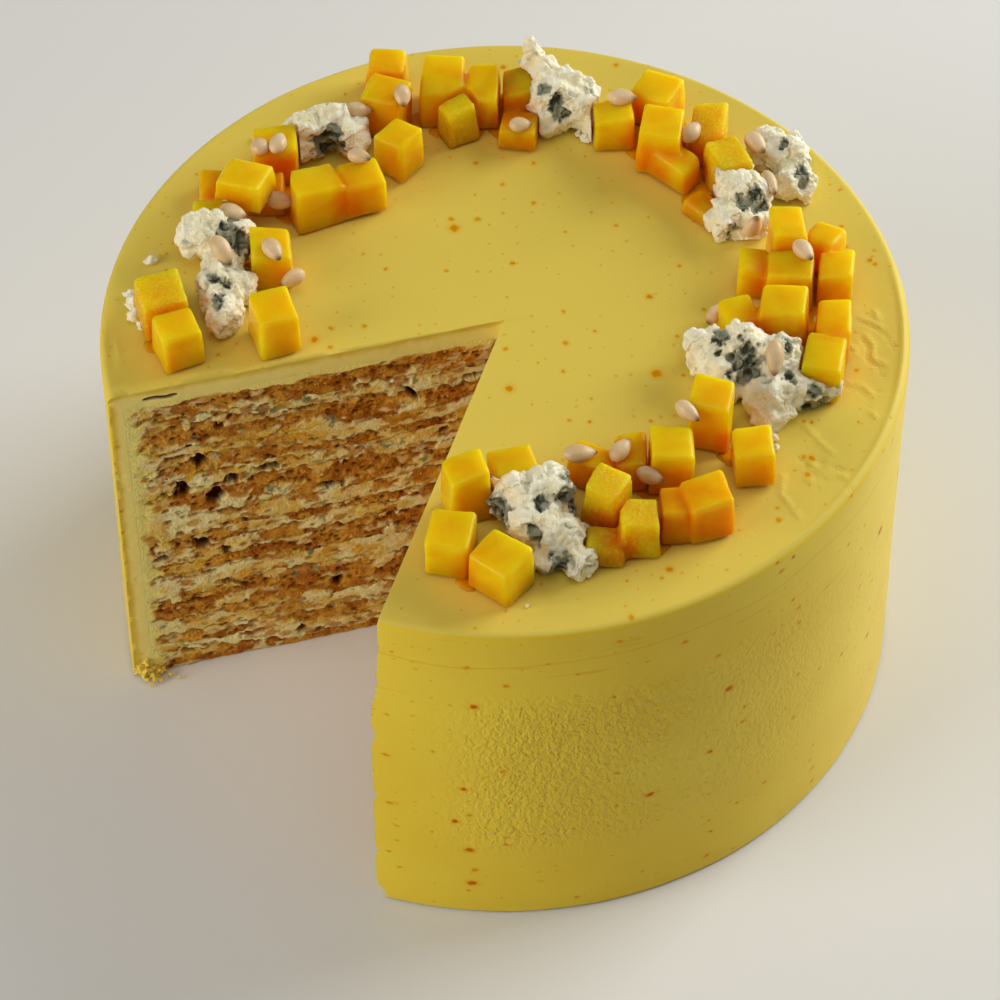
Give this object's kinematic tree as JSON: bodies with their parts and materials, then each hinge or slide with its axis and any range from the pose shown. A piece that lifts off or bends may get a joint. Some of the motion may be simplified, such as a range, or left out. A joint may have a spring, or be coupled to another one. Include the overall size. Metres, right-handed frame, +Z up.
{
  "type": "honey cake",
  "caption": "Tall round layered cake in smooth yellow icing with a wedge cut out, ringed by heaps of mango dice, crumbled blue cheese and pine kernels.",
  "frame": {"origin": "middle of the circle of the cake's underside, on the surface it rests on", "axes": "+Z up; the missing wedge opens towards -X and -Y, the front left"},
  "size_m": [0.2, 0.2, 0.1307],
  "materials": {
    "yellow_icing": "satin, smooth, with small orange freckles",
    "honey_sponge": "dry open crumb",
    "pale_cream": "soft satin cream with blue-grey mould specks",
    "mango_flesh": "wet, translucent",
    "blue_cheese_curd": "crumbly white curd with blue-grey veins; the kernels fused to it are pale beige"
  },
  "bodies": {
    "root": {"icing_coat": "yellow_icing", "sponge_1": "honey_sponge", "sponge_2": "honey_sponge", "sponge_3": "honey_sponge", "sponge_4": "honey_sponge", "sponge_5": "honey_sponge", "sponge_6": "honey_sponge", "sponge_7": "honey_sponge", "sponge_8": "honey_sponge", "sponge_9": "honey_sponge", "cream_1": "pale_cream", "cream_2": "pale_cream", "cream_3": "pale_cream", "cream_4": "pale_cream", "cream_5": "pale_cream", "cream_6": "pale_cream", "cream_7": "pale_cream", "cream_8": "pale_cream", "mango_left_1": "mango_flesh", "mango_left_2": "mango_flesh", "mango_left_3": "mango_flesh", "mango_left_4": "mango_flesh", "mango_left_5": "mango_flesh", "mango_left_6": "mango_flesh", "mango_left_7": "mango_flesh", "mango_left_8": "mango_flesh", "mango_left_9": "mango_flesh", "mango_back_1": "mango_flesh", "mango_back_2": "mango_flesh", "mango_back_3": "mango_flesh", "mango_back_4": "mango_flesh", "mango_back_5": "mango_flesh", "mango_far_1": "mango_flesh", "mango_far_2": "mango_flesh", "mango_far_3": "mango_flesh", "mango_far_4": "mango_flesh", "mango_far_5": "mango_flesh", "mango_right_1": "mango_flesh", "mango_right_2": "mango_flesh", "mango_right_3": "mango_flesh", "mango_right_4": "mango_flesh", "mango_right_5": "mango_flesh", "mango_front_1": "mango_flesh", "mango_front_2": "mango_flesh", "mango_front_3": "mango_flesh", "mango_front_4": "mango_flesh", "mango_front_5": "mango_flesh", "mango_front_6": "mango_flesh", "mango_front_7": "mango_flesh", "mango_front_8": "mango_flesh", "mango_front_9": "mango_flesh", "mango_front_10": "mango_flesh", "mango_front_11": "mango_flesh", "blue_cheese_left": "blue_cheese_curd", "blue_cheese_back": "blue_cheese_curd", "blue_cheese_far": "blue_cheese_curd", "blue_cheese_right_1": "blue_cheese_curd", "blue_cheese_right_2": "blue_cheese_curd", "blue_cheese_large": "blue_cheese_curd", "blue_cheese_front": "blue_cheese_curd"}
  },
  "joints": []
}
